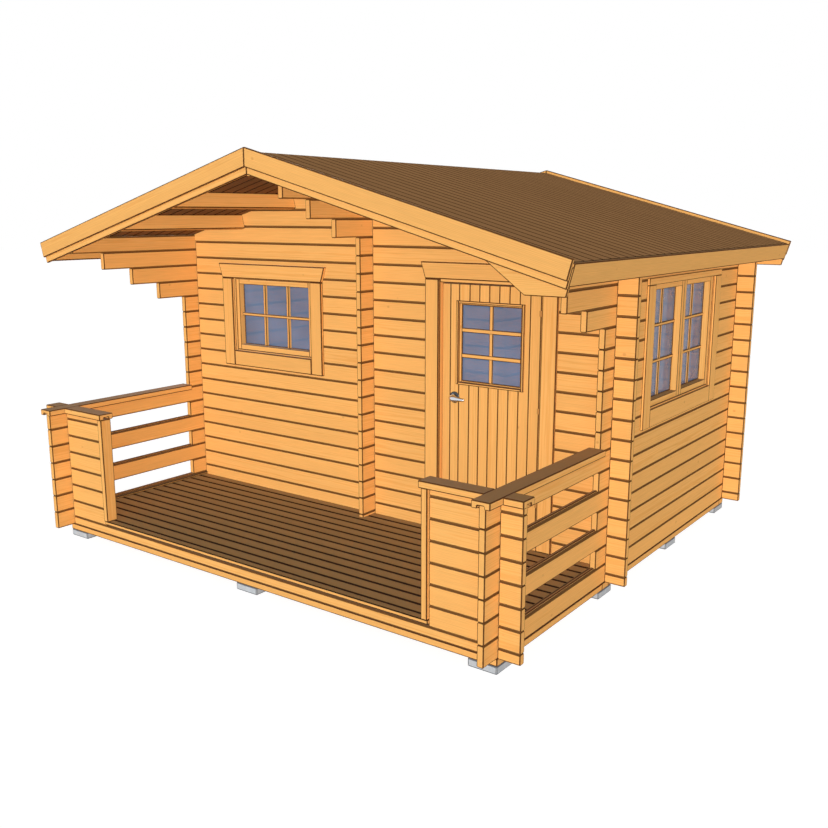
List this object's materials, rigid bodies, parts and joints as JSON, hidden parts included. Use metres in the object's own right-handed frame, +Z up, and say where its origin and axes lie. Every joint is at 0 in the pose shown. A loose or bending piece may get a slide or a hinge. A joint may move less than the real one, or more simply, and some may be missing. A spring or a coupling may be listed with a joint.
{
  "type": "sauna house",
  "caption": "Log-built sauna house with cross-halved corners, a low gable roof over a railed porch, casement windows and a glazed plank door.",
  "frame": {"origin": "bottom centre of the whole house, on the ground under the foundation blocks", "axes": "+X to the right along the front, +Y to the back, +Z up"},
  "size_m": [4.7, 4.332, 2.9844],
  "materials": {
    "wood": "planed pine",
    "brown_boards": "brown stained boards",
    "concrete": "plain concrete",
    "glass": "clear window glass",
    "steel": "polished"
  },
  "bodies": {
    "house": {"foundation_blocks": "concrete", "cross_sills": "wood", "long_sills": "wood", "room_floor": "brown_boards", "porch_joists": "wood", "porch_deck": "brown_boards", "porch_front_log": "wood", "porch_stubs": "wood", "porch_corners": "wood", "porch_rails": "wood", "end_posts": "wood", "side_caps": "wood", "front_caps": "wood", "front_wall_left": "wood", "front_wall_right": "wood", "front_gable": "wood", "back_wall": "wood", "left_wall": "wood", "right_wall": "wood", "left_eave_logs": "wood", "right_eave_logs": "wood", "partition_front": "wood", "partition_back": "wood", "partition_top": "wood", "purlins": "wood", "roof_left": "brown_boards", "roof_right": "brown_boards", "left_barges": "wood", "right_barges": "wood", "left_trims": "wood", "right_trims": "wood", "fascias": "wood", "eave_end_boards": "wood", "front_window_casing": "wood", "front_window_frame": "wood", "front_window_glass": "glass", "side_window_casing": "wood", "side_window_frame": "wood", "side_window_glass": "glass", "door_casing": "wood", "door_frame": "wood", "door_threshold": "wood", "hinge_pins": "steel"},
    "door": {"door_leaf": "wood", "door_beads": "wood", "door_glass": "glass", "hinge_knuckles": "steel", "handle_roses": "steel"},
    "lever": {"door_lever": "steel"}
  },
  "joints": [
    {"name": "door_hinge", "type": "hinge", "parent": "house", "child": "door", "pos_m": [1.4875, -0.576, 1.16], "axis": [0, 0, 1], "range_deg": [0, 100]},
    {"name": "lever_turn", "type": "hinge", "parent": "door", "child": "lever", "pos_m": [0.765, -0.548, 1.242], "axis": [0, 1, 0], "range_deg": [0, 40], "stiffness_Nm_per_rad": 1}
  ]
}
